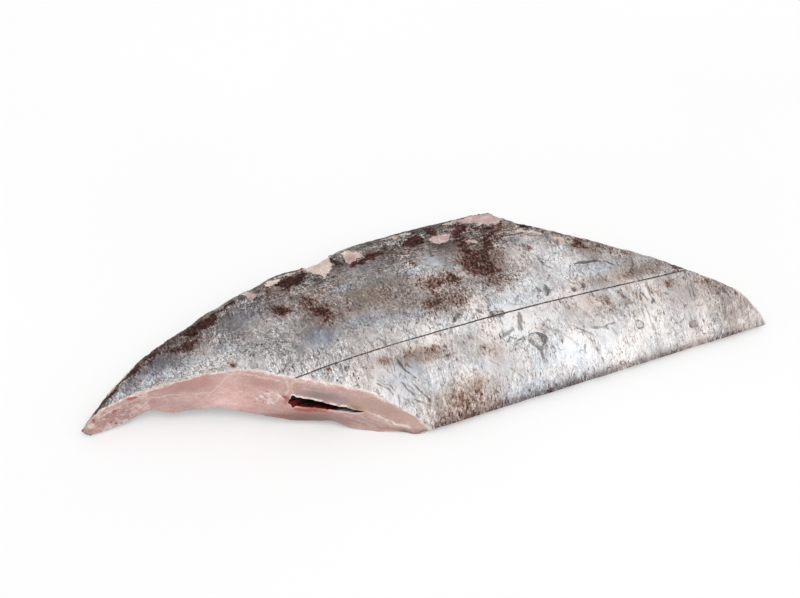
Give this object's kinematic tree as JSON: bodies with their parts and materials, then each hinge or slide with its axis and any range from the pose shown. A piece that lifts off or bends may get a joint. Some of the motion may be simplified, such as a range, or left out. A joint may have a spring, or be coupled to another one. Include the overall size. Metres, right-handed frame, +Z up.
{
  "type": "scabbardfish steak",
  "caption": "Slanting chunk of silvery scabbardfish on its side, with pink flesh, backbone and a dark belly pocket at the cut; a piece of raw fish for a kitchen, market or counter.",
  "frame": {"origin": "on the ground under the middle of the bounding box", "axes": "+X along the fish towards its tail, +Y towards its back (the finned edge), +Z up, out of the upper side"},
  "size_m": [0.28, 0.1214, 0.0265],
  "materials": {
    "silver_skin": "wet silver fish skin with fine creases, brown blotches and bare pink patches along the back",
    "pink_flesh": "moist, slightly translucent raw pink flesh with pale membranes",
    "pocket_lining": "wet black belly lining with dark red blood",
    "bone": "cut backbone, pale pinkish cream and a little rough"
  },
  "bodies": {
    "root": {"steak": "silver_skin", "backbone": "bone"}
  },
  "joints": []
}
